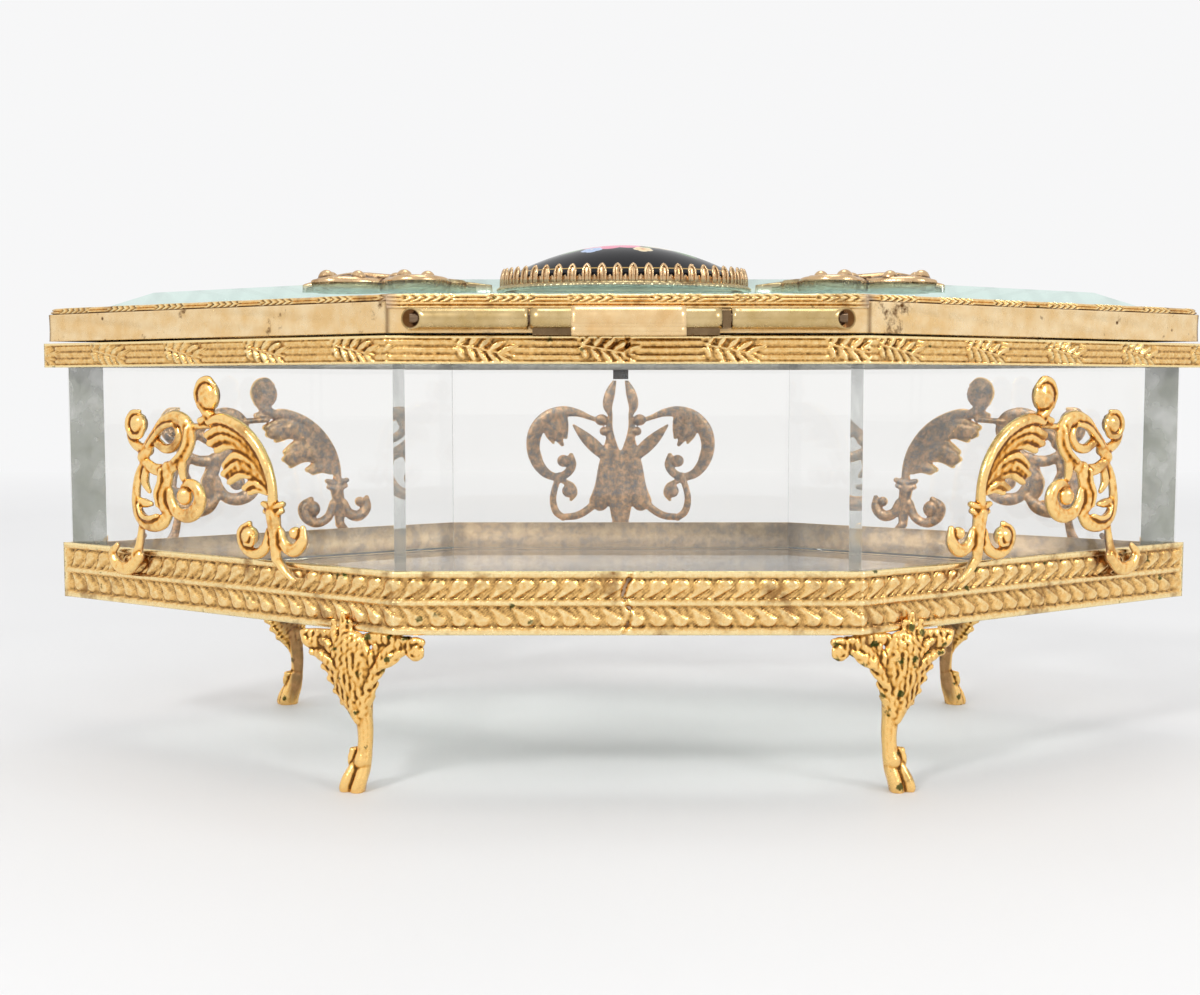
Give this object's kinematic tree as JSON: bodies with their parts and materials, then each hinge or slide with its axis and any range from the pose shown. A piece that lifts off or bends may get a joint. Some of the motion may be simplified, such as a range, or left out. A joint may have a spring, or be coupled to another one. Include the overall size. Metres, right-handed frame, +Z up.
{
  "type": "glass casket box",
  "caption": "Hexagonal glass keepsake box on hoofed legs, gilt strip mounts, scroll castings and a hinged bevelled glass lid with an oval medallion.",
  "frame": {"origin": "middle of the box's bounding box, on the floor under the hooves", "axes": "+X along the box's length, +Z up; the hinge is on the -Y side and the front palmette on the +Y side"},
  "size_m": [0.2198, 0.1018, 0.093],
  "materials": {
    "gilt_brass": "gilt, stamped and cast, dark in the hollows",
    "plain_brass": "worn gilt, satin",
    "steel_pin": "dull",
    "clear_glass": "clear, polished",
    "lid_glass": "clear, bevelled",
    "painted_plaque": "glossy, painted flowers"
  },
  "bodies": {
    "casket": {"glass_back": "clear_glass", "glass_back_left": "clear_glass", "glass_back_right": "clear_glass", "glass_front": "clear_glass", "glass_front_left": "clear_glass", "glass_front_right": "clear_glass", "glass_floor": "clear_glass", "base_frame": "gilt_brass", "top_rim": "gilt_brass", "leg_back_left": "gilt_brass", "leg_back_right": "gilt_brass", "leg_front_left": "gilt_brass", "leg_front_right": "gilt_brass", "scroll_back_left": "gilt_brass", "scroll_back_right": "gilt_brass", "scroll_front_left": "gilt_brass", "scroll_front_right": "gilt_brass", "front_palmette": "gilt_brass", "hinge_tube_body": "plain_brass", "hinge_strap": "plain_brass", "hinge_pin": "steel_pin", "catch_keeper": "plain_brass"},
    "lid": {"lid_frame": "plain_brass", "lid_glass": "lid_glass", "medallion": "painted_plaque", "medallion_bezel": "gilt_brass", "lid_ornament_left": "gilt_brass", "lid_ornament_right": "gilt_brass", "hinge_tube_lid_left": "plain_brass", "hinge_tube_lid_right": "plain_brass", "thumb_tab": "plain_brass"}
  },
  "joints": [
    {"name": "lid_hinge", "type": "hinge", "parent": "casket", "child": "lid", "pos_m": [0, -0.04888, 0.0772], "axis": [1, 0, 0], "range_deg": [0, 100]}
  ]
}
